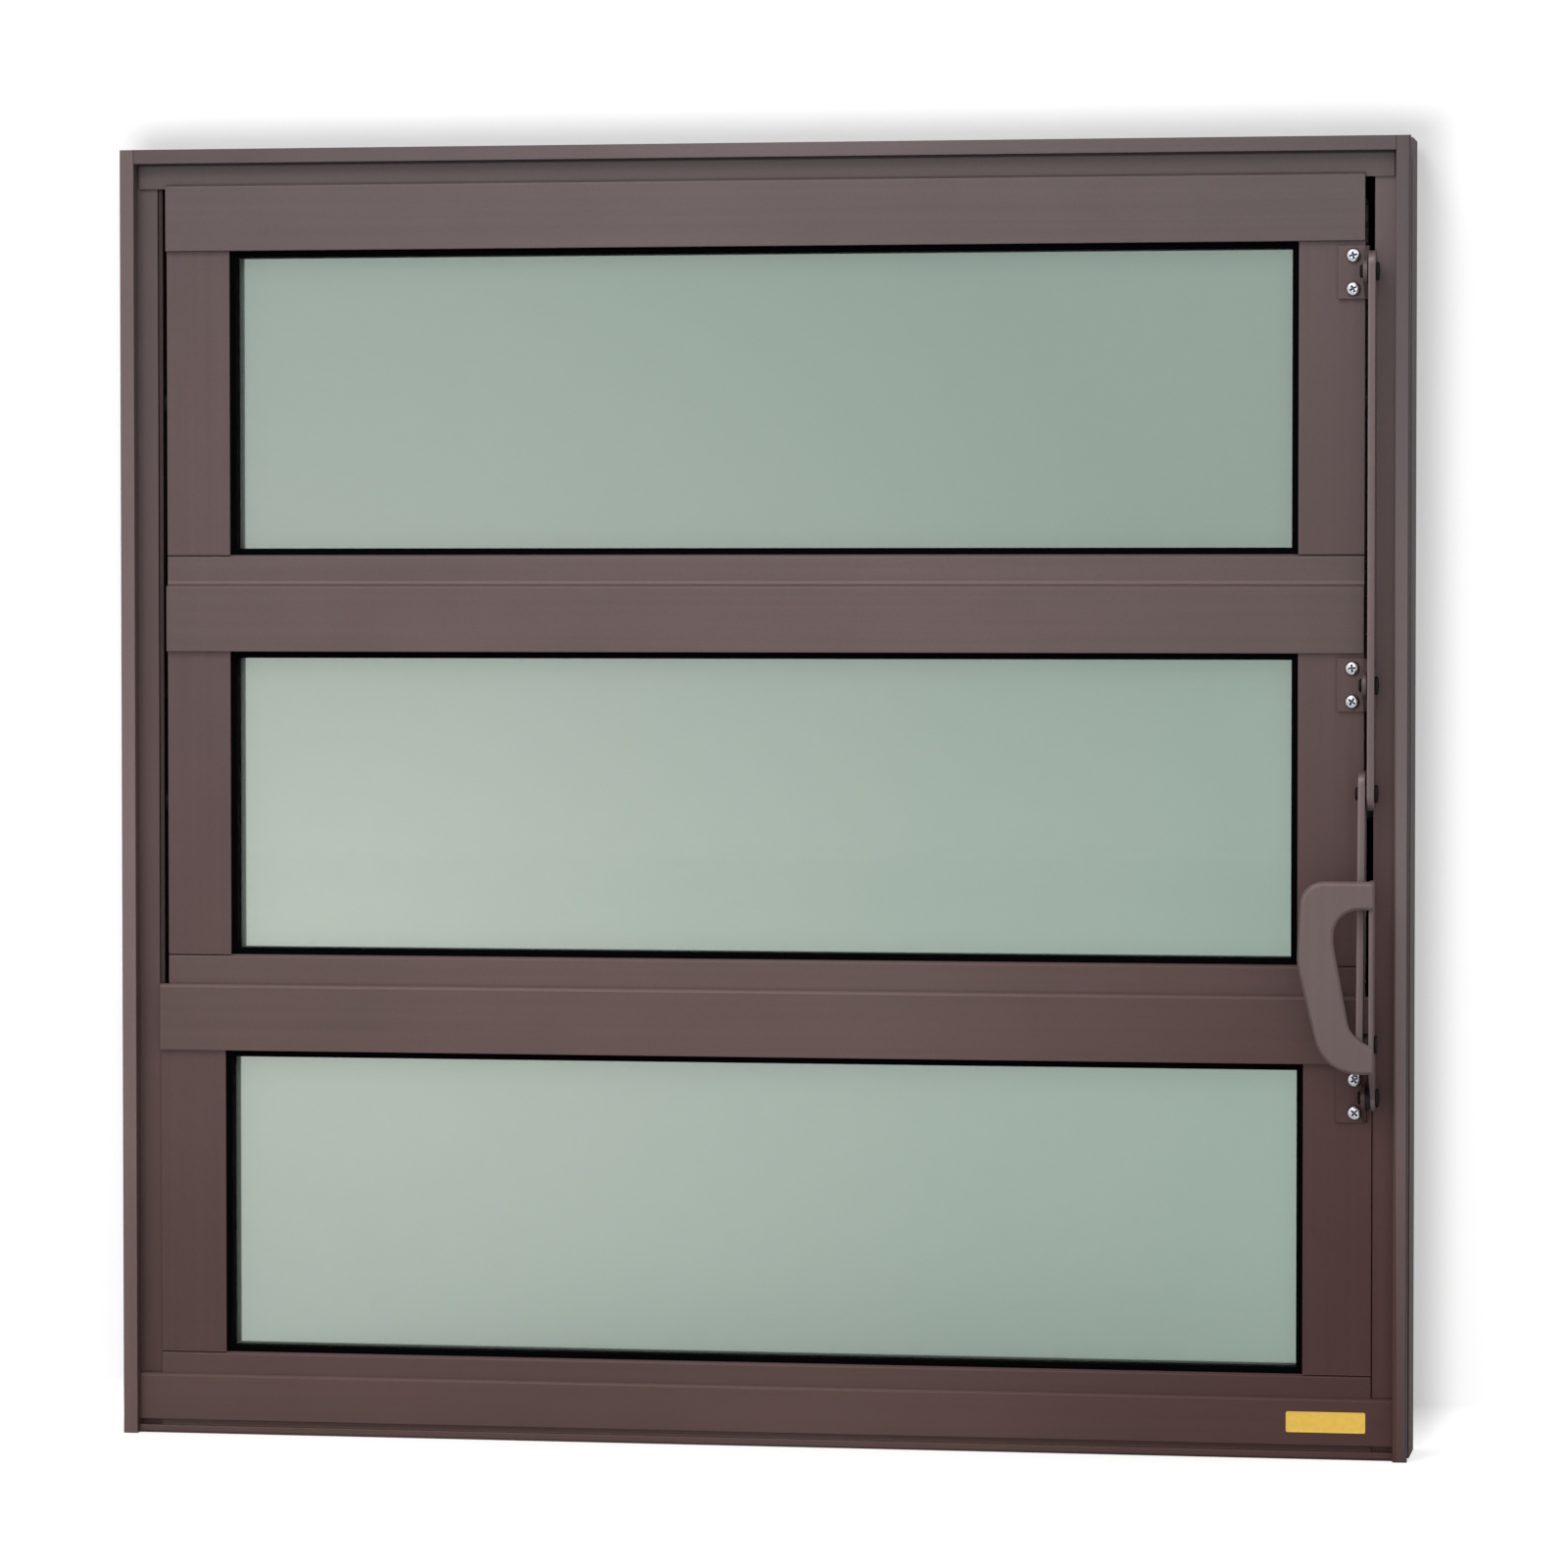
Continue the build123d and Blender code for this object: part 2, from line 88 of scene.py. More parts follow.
# Colours, linear
# Top and bottom colours: painted shade, the bronze darker and redder towards the bottom as if lit from above;
# the sill has the colour of that darker lower end
BRONZE_TOP = (0.144, 0.110, 0.110)
BRONZE_BOTTOM = (0.117, 0.068, 0.062)
SILL_BRONZE = (0.126, 0.074, 0.068)
STILE_TOP = (0.133, 0.094, 0.094)
STILE_BOTTOM = (0.102, 0.055, 0.051)
JAMB_TOP = (0.150, 0.112, 0.112)
JAMB_BOTTOM = (0.123, 0.066, 0.060)
FITTING_TOP = (0.176, 0.131, 0.130)
FITTING_BOTTOM = (0.156, 0.110, 0.108)
# Painted shade of the lower right corner and of the low inner strip of the right flange
SHADED_BRONZE = (0.073, 0.029, 0.026)
# Painted shade of the frame's right outer side
SHADED_SIDE_BRONZE = (0.088, 0.070, 0.072)
# Painted shade of the right flange's inner and outer edges
INNER_STRIP_SHADE = (0.078, 0.047, 0.046)
OUTER_STRIP_SHADE = (0.046, 0.042, 0.047)
GLASS_DEEP = (0.310, 0.395, 0.345)
# Painted light of the glass's pale patch
GLASS_PAINTED_LIGHT = (0.500, 0.560, 0.500)
RUBBER = (0.0007, 0.0007, 0.0008)
JOINT_BRONZE = (0.098, 0.073, 0.071)
# Painted shade: the lip's dark bronze stands for the shade of the narrow gap
LIP_SHADE_BRONZE = (0.034, 0.023, 0.021)
NYLON = (0.010, 0.010, 0.011)
BLACKENED = (0.006, 0.005, 0.005)
ZINC = (0.80, 0.81, 0.84)
ZINC_SHADE = (0.11, 0.13, 0.19)
GOLD = (1.0, 0.64, 0.105)
WHITE = (1.0, 1.0, 1.0)

# Front flange of the frame: shares of its height or width, and the colours there, painted light and shade,
# palest where the light falls most
JAMB_SHARES = (0.0, 0.42, 1.0)
LEFT_RIM = ((0.148, 0.094, 0.090), (0.200, 0.142, 0.138), (0.150, 0.108, 0.108))
RIGHT_RIM = ((0.084, 0.045, 0.042), (0.172, 0.130, 0.129), (0.098, 0.077, 0.080))
HEAD_SHARES = (0.0, 0.5, 1.0)
HEAD_RIM = ((0.107, 0.078, 0.080), (0.150, 0.116, 0.116), (0.100, 0.076, 0.081))

# Gains of the frame's colour that paint shade: behind its flange, darker to the left, far back on its outer
# side, and in the head's dark line under its flange
BEHIND_LEFT = 0.84
BEHIND_RIGHT = 1.07
BEHIND_HEAD = 0.88
BACK_SHADE = 0.75
UNDER_SHADE = 0.27

# Noises of the finishes: scale, detail
MARKS_NOISE = (1.0, 3)
CLOUD_NOISE = (14.0, 4)
SPECK_NOISE = (900.0, 2)
DUST_NOISE = (220.0, 4)
GRAIN_NOISE = (700.0, 3)
FILM_NOISE = (420.0, 3)
WAVE_NOISE = (3.0, 2)
CRINKLE_NOISE = (350.0, 3)
PAPER_NOISE = (3.0, 2)
NOISE_ROUGHNESS = 0.55

# Stretch of the draw marks across and along an extrusion
MARKS_ACROSS = 260.0
MARKS_ALONG = 3.0

# Range that most of a noise lies in
NOISE_FROM = 0.3
NOISE_TO = 0.7

# Least and greatest gain of a colour that such a noise gives; a lone one goes with the plain colour
MARKS_GAIN = (0.955, 1.045)
CLOUD_GAIN = (0.95, 1.05)
SPECK_GAIN = (0.97, 1.03)
DUST_GAIN = (0.6, 1.8)
WAVE_GAIN = (0.9, 1.0)
MOULDED_GAIN = 1.8
ZINC_GAIN = 0.7
FOIL_GAIN = 0.8
PAPER_GAIN = 1.01

# Least and greatest roughness; a moulded finish adds its pair to its own
BRONZE_ROUGHNESS = (0.40, 0.50)
RUBBER_ROUGHNESS = (0.62, 0.8)
MOULDED_ROUGHNESS = (-0.06, 0.08)
ZINC_ROUGHNESS = (0.18, 0.34)
GLASS_ROUGHNESS = (0.03, 0.06)
FOIL_ROUGHNESS = (0.3, 0.42)
SIDE_ROUGHNESS = 0.95

# Gloss
BRONZE_METAL = 0.35
BRONZE_SPECULAR = 0.35
RUBBER_SPECULAR = 0.02
MOULDED_SPECULAR = 0.15
FOIL_METAL = 0.35
GLASS_TRANSMISSION = 0.75
GLASS_IOR = 1.5

# Fine bump: strength, depth; and radius of the softened edges, metres
BRONZE_RELIEF = (0.12, 0.00008)
RUBBER_RELIEF = (0.2, 0.0001)
MOULDED_RELIEF = (0.15, 0.00006)
ZINC_RELIEF = (0.1, 0.00004)
FOIL_RELIEF = (0.15, 0.0001)
BRONZE_EDGE = 0.00035
RAIL_EDGE = 0.0007
FITTING_EDGE = 0.0008
BLACK_EDGE = 0.0003
ZINC_EDGE = 0.00015
BEVEL_SAMPLES = 6

# Height of the frame, over which the painted shade of the bronze changes
FRAME_HEIGHT = 0.6

# Bronze: the palest place of a painted pool of light with the reach and gains round it, and the middle of the
# painted shade in the lower right corner with that one's reach
PAINTED_LIGHT_MIDDLE = (-0.07, 0.0, 0.33)
PAINTED_LIGHT_REACH = (0.15, 0.40)
MIDDLE_GAIN = 1.02
FAR_GAIN = 0.845
RAIL_FAR_GAIN = 0.80
SHADE_MIDDLE = (0.33, 0.0, 0.06)
SHADE_REACH = 0.30

# Distance from the front of the lever's grip to the front of the frame, metres
HANDLE_REACH = 0.0255

# Depths behind the front of the frame: where the flange's painted light ends, and where painted shade darkens
# the outer side
FLANGE_ENDS = (0.0005, 0.0015)
SIDE_DARKENS = (0.017, 0.018)

# Where a face counts as the frame's right outer side: share of its normal, and X
OUTWARD_SHARE = (0.9, 0.95)
RIGHT_END = (0.270, 0.275)

# Right flange: end of its inner strip of painted shade high and low, heights where that strip fades and widens,
# and where the outer strip of painted shade starts
INNER_TO = 0.2943
INNER_LOW = 0.2953
INNER_BLUR = 0.00015
INNER_FADES = (0.22, 0.42)
INNER_WIDENS = (0.05, 0.20)
OUTER_STARTS = (0.2990, 0.2993)

# Heights where the line of painted shade under the head's flange starts and ends
SHADE_LINE_STARTS = (0.5924, 0.5927)
SHADE_LINE_ENDS = (0.5942, 0.5944)

# Painted highlight lines where light catches the rails' bevels: height from, height to, gain
HIGHLIGHT_LINES = ((0.3980, 0.3994, 1.42), (0.2095, 0.2112, 1.30))
HIGHLIGHT_BLUR = 0.0002

# Edges of the fittings that catch light: direction they face, share of it, gain, reach, and what a front is
CAUGHT_FACING = (-0.6, 0.0, 0.8)
CAUGHT_SHARE = (0.08, 0.26)
CAUGHT_GAIN = 1.42
CAUGHT_REACH = 0.0026
CAUGHT_SAMPLES = 12
FRONT_SHARE = (-0.95, -0.85)

# Depth of the front of the screw heads, and how far behind it painted shade darkens them, metres
SCREW_TOP = -0.0225
SCREW_DARK = (0.0005, 0.0011)

# Glass: its pale patch of painted light, and heights and X where a gain of painted light and shade changes
GLASS_LIGHT_MIDDLE = (-0.22, 0.0, 0.23)
GLASS_LIGHT_REACH = 0.44
PALER_BELOW = 1.16
PLAIN_ABOVE = 1.03
PALER_HEIGHTS = (0.24, 0.42)
LOWEST_PANE = 0.88
LOWEST_HEIGHTS = (0.19, 0.22)
RIGHT_PALER = 1.08
RIGHT_PANE = (0.08, 0.26)
RIGHT_HEIGHTS = (0.34, 0.42)

# Fastener shapes, millimetres
SCREW_HEAD = 3.3
SCREW_HEIGHT = 2.2
SCREW_SHANK = 1.75
SCREW_LENGTH = 12.0
SCREW_POINT = 2.5
RECESS_ARM = 1.75
RECESS_WIDTH = 0.36
RECESS_DEPTH = 1.6
RIVET_HEAD = 4.15
RIVET_HEIGHT = 1.5
RIVET_SHANK = 2.0
LINK_SHANK = 1.6
SHOP_HEAD = 3.0
SHOP_HEIGHT = 1.8
PLATE = 2.0
LATHE_STEPS = 48

# Screw's recess: shares of its arm and width at its mouth and foot
RECESS_MOUTH = 1.25
RECESS_FOOT_ARM = 0.45
RECESS_FOOT_WIDTH = 0.7

# Profiles of (radius, height) in millimetres, heights outward from the face under the made head; a closed
# head's are from the face that it closes on
SCREW_PROFILE = [
    (0, SCREW_HEIGHT), (1.2, SCREW_HEIGHT - 0.03), (2.2, SCREW_HEIGHT - 0.2), (2.85, SCREW_HEIGHT - 0.6),
    (3.2, SCREW_HEIGHT - 1.15), (SCREW_HEAD, SCREW_HEIGHT - 1.7), (SCREW_HEAD, 0), (SCREW_SHANK, 0),
    (SCREW_SHANK, SCREW_POINT - SCREW_LENGTH), (0, -SCREW_LENGTH),
]
MADE_HEAD = [
    (0, RIVET_HEIGHT - 0.35), (1.1, RIVET_HEIGHT - 0.35), (1.35, RIVET_HEIGHT - 0.08), (1.9, RIVET_HEIGHT),
    (3.4, RIVET_HEIGHT - 0.08), (RIVET_HEAD - 0.2, RIVET_HEIGHT - 0.3), (RIVET_HEAD, RIVET_HEIGHT - 0.55),
    (RIVET_HEAD, 0.2), (RIVET_HEAD - 0.1, 0),
]
CLOSED_HEAD = [
    (2.6, -0.05), (SHOP_HEAD, -0.5), (SHOP_HEAD, -1.2), (2.5, 0.15 - SHOP_HEIGHT), (0, -SHOP_HEIGHT),
]

# Thin trim, millimetres: hairline joints, the left jamb's lip (its front is a Y) and the blank label
JOINT_WIDTH = 0.22
JOINT_PROUD = 0.03
FLANGE_EDGE = 293.5
HEAD_JOINT = 6.5
LIP_FRONT = -16.8
LIP_WIDTH = 1.9
LIP_THICKNESS = 0.8
LIP_OVERLAP = 0.5
SILL_NOSE = 1.5
LABEL_THICKNESS = 0.12
LABEL_CORNER = 0.8
LABEL_CORNER_STEPS = 4
LABEL_RIM = 0.45
LABEL_STEP = 0.15
LABEL_SINK = 0.05

# Studio: a glow of 1 is white to the camera
FLOOR_HALF = 6.0
FLOOR_ALBEDO = 0.8
FLOOR_GLOW = 0.5
WALL_BEHIND = 0.004
WALL_ALBEDO = 0.42
# The wall glows whiter near the floor, painted light that fades the window's shadow out there
WALL_FOOT_GLOW = 0.8
WALL_GLOW = 0.36
FADE_HEIGHT = 0.02
WORLD_LIGHT = 0.62

# Lamps: place, width, power
KEY = ((-0.6, -2.0, 2.3), 1.2, 26.0)
FILL = ((1.1, -2.6, 0.9), 2.4, 10.0)
REAR = ((0.6, 2.4, 1.6), 1.8, 10.0)
WALL_WASH = ((-0.06, -1.5, 0.14), 0.6, 27.0)
LAMP_TARGET = (0, 0, 0.3)
WASH_TARGET = (0.05, 0.05, 0.4)


def add(tree, kind, **settings):
    node = tree.nodes.new(kind)
    for key, value in settings.items():
        setattr(node, key, value)
    return node


def feed(tree, source, socket):
    """Socket linked to another one, or set to a number, a vector or a colour."""
    if isinstance(source, bpy.types.NodeSocket):
        tree.links.new(source, socket)
    elif socket.type == "RGBA":
        socket.default_value = (*source, 1)
    else:
        socket.default_value = source


def tree_of(name):
    """New material with its Principled shader; returns material, node tree and shader."""
    material = bpy.data.materials.new(name)
    material.use_nodes = True
    tree = material.node_tree
    return material, tree, tree.nodes["Principled BSDF"]


def object_place(tree, scale=(1, 1, 1)):
    """Coordinates of the piece at rest, stretched by scale."""
    place = add(tree, "ShaderNodeTexCoord")
    mapping = add(tree, "ShaderNodeMapping")
    feed(tree, scale, mapping.inputs["Scale"])
    feed(tree, place.outputs["Object"], mapping.inputs["Vector"])
    return mapping.outputs["Vector"]


def apart(tree, vector):
    """X, Y and Z of a vector."""
    node = add(tree, "ShaderNodeSeparateXYZ")
    feed(tree, vector, node.inputs[0])
    return node.outputs


def noise(tree, scale, detail, vector):
    node = add(tree, "ShaderNodeTexNoise")
    settings = {"Scale": scale, "Detail": detail, "Roughness": NOISE_ROUGHNESS, "Vector": vector}
    for socket, source in settings.items():
        feed(tree, source, node.inputs[socket])
    return node.outputs["Fac"]


def spread(tree, value, low, high, start=NOISE_FROM, end=NOISE_TO):
    """Value from start..end carried to low..high."""
    node = add(tree, "ShaderNodeMapRange")
    settings = {"From Min": start, "From Max": end, "To Min": low, "To Max": high, "Value": value}
    for socket, source in settings.items():
        feed(tree, source, node.inputs[socket])
    return node.outputs["Result"]


def calculate(tree, operation, first, second):
    """Maths of two values."""
    node = add(tree, "ShaderNodeMath", operation=operation)
    feed(tree, first, node.inputs[0])
    feed(tree, second, node.inputs[1])
    return node.outputs["Value"]


def multiply(tree, first, second):
    return calculate(tree, "MULTIPLY", first, second)


def window(tree, value, starts, ends):
    """1 between two pairs of values, 0 outside them, and blurred within each pair."""
    return multiply(tree, spread(tree, value, 0.0, 1.0, *starts), spread(tree, value, 1.0, 0.0, *ends))


def between(tree, factor, first, second):
    """From one value to another as factor goes from 0 to 1."""
    node = add(tree, "ShaderNodeMix", data_type="FLOAT")
    for number, source in ((0, factor), (2, first), (3, second)):
        feed(tree, source, node.inputs[number])
    return node.outputs[0]


def blend_colour(tree, factor, first, second):
    """From one colour to another as factor goes from 0 to 1."""
    node = add(tree, "ShaderNodeMix", data_type="RGBA")
    for number, source in ((0, factor), (6, first), (7, second)):
        feed(tree, source, node.inputs[number])
    return node.outputs[2]


def ramp(tree, value, shares, colours):
    """Colour that runs through three of them, each at its share of the way."""
    node = add(tree, "ShaderNodeValToRGB")
    stops = node.color_ramp.elements
    stops[0].position = shares[0]
    stops[1].position = shares[2]
    stops.new(shares[1])
    for stop, colour in zip(stops, colours):
        stop.color = (*colour, 1)
    feed(tree, value, node.inputs["Fac"])
    return node.outputs["Color"]


def shaded(tree, colour, value):
    """Colour multiplied by a value."""
    node = add(tree, "ShaderNodeVectorMath", operation="SCALE")
    feed(tree, colour, node.inputs[0])
    feed(tree, value, node.inputs["Scale"])
    return node.outputs["Vector"]


def pair(tree, operation, vector, other):
    """Distance or dot product of a vector and a fixed one."""
    node = add(tree, "ShaderNodeVectorMath", operation=operation)
    feed(tree, vector, node.inputs[0])
    feed(tree, other, node.inputs[1])
    return node.outputs["Value"]


def own_axes(tree, normal):
    """World normal carried to the axes of the piece."""
    node = add(tree, "ShaderNodeVectorTransform", vector_type="NORMAL", convert_from="WORLD",
               convert_to="OBJECT")
    feed(tree, normal, node.inputs[0])
    return node.outputs[0]


def rounded_normal(tree, radius, samples):
    bevel = add(tree, "ShaderNodeBevel", samples=samples)
    feed(tree, radius, bevel.inputs["Radius"])
    return bevel.outputs["Normal"]


def relief(tree, shader, height, strength, depth, edge=None):
    """Fine bump, where asked over softly rounded edges."""
    bump = add(tree, "ShaderNodeBump")
    feed(tree, strength, bump.inputs["Strength"])
    feed(tree, depth, bump.inputs["Distance"])
    feed(tree, height, bump.inputs["Height"])
    if edge:
        feed(tree, rounded_normal(tree, edge, BEVEL_SAMPLES), bump.inputs["Normal"])
    feed(tree, bump.outputs["Normal"], shader.inputs["Normal"])


def painted_highlight_line(tree, colour, height, low, high, gain):
    """Colour with a painted highlight line between two heights."""
    line = window(tree, height, (low - HIGHLIGHT_BLUR, low + HIGHLIGHT_BLUR), (high - HIGHLIGHT_BLUR, high + HIGHLIGHT_BLUR))
    return shaded(tree, colour, spread(tree, line, 1.0, gain, 0.0, 1.0))


def caught(tree, colour):
    """Colour with a painted highlight along the upper left edges of front faces."""
    edge = own_axes(tree, rounded_normal(tree, CAUGHT_REACH, CAUGHT_SAMPLES))
    face = own_axes(tree, add(tree, "ShaderNodeNewGeometry").outputs["True Normal"])
    towards = spread(tree, pair(tree, "DOT_PRODUCT", edge, CAUGHT_FACING), 0.0, 1.0, *CAUGHT_SHARE)
    mask = multiply(tree, towards, spread(tree, apart(tree, face)["Y"], 1.0, 0.0, *FRONT_SHARE))
    return shaded(tree, colour, spread(tree, mask, 1.0, CAUGHT_GAIN, 0.0, 1.0))


def flange_painted_light(tree, axes, kind):
    """Painted light and shade on the frame's front flange; the right one has a redder inner and a darker outer
    edge of painted shade.
    """
    across = spread(tree, axes["X"], 0.0, 1.0, cad_box[0].x, cad_box[1].x)
    if kind == "head":
        return ramp(tree, across, HEAD_SHARES, HEAD_RIM)
    rise = spread(tree, axes["Z"], 0.0, 1.0, 0.0, FRAME_HEIGHT)
    left = ramp(tree, rise, JAMB_SHARES, LEFT_RIM)
    right = ramp(tree, rise, JAMB_SHARES, RIGHT_RIM)
    inner_end = spread(tree, axes["Z"], INNER_LOW, INNER_TO, *INNER_WIDENS)
    inside = spread(tree, calculate(tree, "SUBTRACT", inner_end, axes["X"]), 0.0, 1.0, -INNER_BLUR, INNER_BLUR)
    inner = multiply(tree, inside, spread(tree, axes["Z"], 1.0, 0.0, *INNER_FADES))
    low = spread(tree, axes["Z"], 1.0, 0.0, *INNER_WIDENS)
    right = blend_colour(tree, inner, right, blend_colour(tree, low, INNER_STRIP_SHADE, SHADED_BRONZE))
    right = blend_colour(tree, spread(tree, axes["X"], 0.0, 1.0, *OUTER_STARTS), right, OUTER_STRIP_SHADE)
    return blend_colour(tree, across, left, right)


def rimmed(tree, axes, colour, kind):
    """Frame colour with its own flange and side, painted shade behind the flange and on the right outer side;
    also how far a place is on the right outer side.
    """
    front = cad_box[0].y + HANDLE_REACH
    behind = spread(tree, axes["Y"], 0.0, 1.0, *(front + depth for depth in FLANGE_ENDS))
    tones = (BEHIND_HEAD, BEHIND_HEAD) if kind == "head" else (BEHIND_LEFT, BEHIND_RIGHT)
    tone = spread(tree, axes["X"], *tones, cad_box[0].x, cad_box[1].x)
    if kind == "head":
        # Painted shade line under the head's flange
        tone = between(tree, window(tree, axes["Z"], SHADE_LINE_STARTS, SHADE_LINE_ENDS), tone, UNDER_SHADE)
    colour = blend_colour(tree, behind, flange_painted_light(tree, axes, kind), shaded(tree, colour, tone))
    facing = apart(tree, add(tree, "ShaderNodeNewGeometry").outputs["True Normal"])
    outward = multiply(tree, spread(tree, facing["X"], 0.0, 1.0, *OUTWARD_SHARE),
                       spread(tree, axes["X"], 0.0, 1.0, *RIGHT_END))
    # Painted shade, darker far back on the right outer side
    back = spread(tree, axes["Y"], 1.0, BACK_SHADE, *(front + depth for depth in SIDE_DARKENS))
    return blend_colour(tree, outward, colour, shaded(tree, SHADED_SIDE_BRONZE, back)), outward


def bronze(name, top, bottom, along, rim=None, painted_corner_shade=True, edge=BRONZE_EDGE, far=FAR_GAIN, lines=()):
    """Satin bronze anodising with faint draw marks along one axis; darker and redder low down, painted shade of
    light from above.

    A rim, jamb or head, gives its foremost faces the painted light and shade of the frame's flange. Where
    asked, painted shade makes the bronze darker and redder in the lower right corner, and other bronze gets
    painted highlights on its upper left edges. Far is the gain far from the frame's palest place, the middle of
    a painted pool of light, and lines are painted highlight lines between two heights.
    """
    material, tree, shader = tree_of(name)
    plain = object_place(tree)
    axes = apart(tree, plain)
    stretch = [MARKS_ALONG if axis == along else MARKS_ACROSS for axis in "XYZ"]
    marks = noise(tree, *MARKS_NOISE, object_place(tree, stretch))
    cloud = noise(tree, *CLOUD_NOISE, plain)
    speck = noise(tree, *SPECK_NOISE, plain)
    tone = multiply(tree, spread(tree, marks, *MARKS_GAIN), spread(tree, cloud, *CLOUD_GAIN))
    tone = multiply(tree, tone, spread(tree, speck, *SPECK_GAIN))
    # Painted shade: darker and redder towards the bottom
    colour = blend_colour(tree, spread(tree, axes["Z"], 0, 1, 0.0, FRAME_HEIGHT), bottom, top)
    # Painted shade, darker and redder in the lower right corner; otherwise painted highlights on the edges
    if painted_corner_shade:
        low = spread(tree, pair(tree, "DISTANCE", plain, SHADE_MIDDLE), 1.0, 0.0, 0.0, SHADE_REACH)
        colour = blend_colour(tree, low, colour, SHADED_BRONZE)
    else:
        colour = caught(tree, colour)
    for low, high, gain in lines:
        colour = painted_highlight_line(tree, colour, axes["Z"], low, high, gain)
    # Painted pool of light round the frame's palest place
    painted_light_falloff = spread(tree, pair(tree, "DISTANCE", plain, PAINTED_LIGHT_MIDDLE), MIDDLE_GAIN, far, *PAINTED_LIGHT_REACH)
    colour = shaded(tree, colour, painted_light_falloff)
    roughness = spread(tree, cloud, *BRONZE_ROUGHNESS)
    metal = BRONZE_METAL
    if rim:
        colour, outward = rimmed(tree, axes, colour, rim)
        roughness = between(tree, outward, roughness, SIDE_ROUGHNESS)
        metal = spread(tree, outward, BRONZE_METAL, 0.0, 0.0, 1.0)
    feed(tree, shaded(tree, colour, tone), shader.inputs["Base Color"])
    feed(tree, roughness, shader.inputs["Roughness"])
    feed(tree, metal, shader.inputs["Metallic"])
    shader.inputs["Specular IOR Level"].default_value = BRONZE_SPECULAR
    relief(tree, shader, multiply(tree, marks, speck), *BRONZE_RELIEF, edge)
    return material


def rubber():
    """Matt black glazing seal with a little dust in it."""
    material, tree, shader = tree_of("seal_rubber")
    dust = noise(tree, *DUST_NOISE, object_place(tree))
    feed(tree, shaded(tree, RUBBER, spread(tree, dust, *DUST_GAIN)), shader.inputs["Base Color"])
    feed(tree, spread(tree, dust, *RUBBER_ROUGHNESS), shader.inputs["Roughness"])
    shader.inputs["Specular IOR Level"].default_value = RUBBER_SPECULAR
    relief(tree, shader, dust, *RUBBER_RELIEF, BLACK_EDGE)
    return material


def moulded(name, colour, roughness, metal=0.0):
    """Dark moulded or blackened finish with small variation."""
    material, tree, shader = tree_of(name)
    grain = noise(tree, *GRAIN_NOISE, object_place(tree))
    lighter = [part * MOULDED_GAIN for part in colour]
    feed(tree, blend_colour(tree, grain, colour, lighter), shader.inputs["Base Color"])
    limits = [roughness + change for change in MOULDED_ROUGHNESS]
    feed(tree, spread(tree, grain, *limits), shader.inputs["Roughness"])
    shader.inputs["Metallic"].default_value = metal
    shader.inputs["Specular IOR Level"].default_value = MOULDED_SPECULAR
    relief(tree, shader, grain, *MOULDED_RELIEF, BLACK_EDGE)
    return material


def zinc(name, screw=False):
    """Bright zinc plating with faint turning marks; a screw gets painted shade in its recess and round its rim.
    """
    material, tree, shader = tree_of(name)
    plain = object_place(tree)
    film = noise(tree, *FILM_NOISE, plain)
    colour = blend_colour(tree, film, [part * ZINC_GAIN for part in ZINC], ZINC)
    if screw:
        low = spread(tree, apart(tree, plain)["Y"], 0.0, 1.0, *(SCREW_TOP + depth for depth in SCREW_DARK))
        colour = blend_colour(tree, low, colour, ZINC_SHADE)
    feed(tree, colour, shader.inputs["Base Color"])
    feed(tree, spread(tree, film, *ZINC_ROUGHNESS), shader.inputs["Roughness"])
    shader.inputs["Metallic"].default_value = 1.0
    relief(tree, shader, film, *ZINC_RELIEF, ZINC_EDGE)
    return material


def glazing():
    """Grey-green float glass with painted light: paler at the lower left, with a gain of its own for each
    height.
    """
    material, tree, shader = tree_of("glass")
    plain = object_place(tree)
    axes = apart(tree, plain)
    wave = noise(tree, *WAVE_NOISE, plain)
    painted_glass_light = spread(tree, pair(tree, "DISTANCE", plain, GLASS_LIGHT_MIDDLE), 1.0, 0.0, 0.0, GLASS_LIGHT_REACH)
    tint = blend_colour(tree, multiply(tree, painted_glass_light, spread(tree, wave, *WAVE_GAIN)), GLASS_DEEP, GLASS_PAINTED_LIGHT)
    gain = multiply(tree, spread(tree, axes["Z"], PALER_BELOW, PLAIN_ABOVE, *PALER_HEIGHTS),
                    spread(tree, axes["Z"], LOWEST_PANE, 1.0, *LOWEST_HEIGHTS))
    right = multiply(tree, spread(tree, axes["X"], 0.0, 1.0, *RIGHT_PANE),
                     spread(tree, axes["Z"], 1.0, 0.0, *RIGHT_HEIGHTS))
    gain = multiply(tree, gain, spread(tree, right, 1.0, RIGHT_PALER, 0.0, 1.0))
    feed(tree, shaded(tree, tint, gain), shader.inputs["Base Color"])
    feed(tree, spread(tree, wave, *GLASS_ROUGHNESS), shader.inputs["Roughness"])
    shader.inputs["Transmission Weight"].default_value = GLASS_TRANSMISSION
    shader.inputs["IOR"].default_value = GLASS_IOR
    return material


def foil():
    """Gold foil of the blank sticker."""
    material, tree, shader = tree_of("gold_foil")
    crinkle = noise(tree, *CRINKLE_NOISE, object_place(tree))
    darker = [part * FOIL_GAIN for part in GOLD]
    feed(tree, blend_colour(tree, crinkle, darker, GOLD), shader.inputs["Base Color"])
    feed(tree, spread(tree, crinkle, *FOIL_ROUGHNESS), shader.inputs["Roughness"])
    shader.inputs["Metallic"].default_value = FOIL_METAL
    relief(tree, shader, crinkle, *FOIL_RELIEF)
    return material


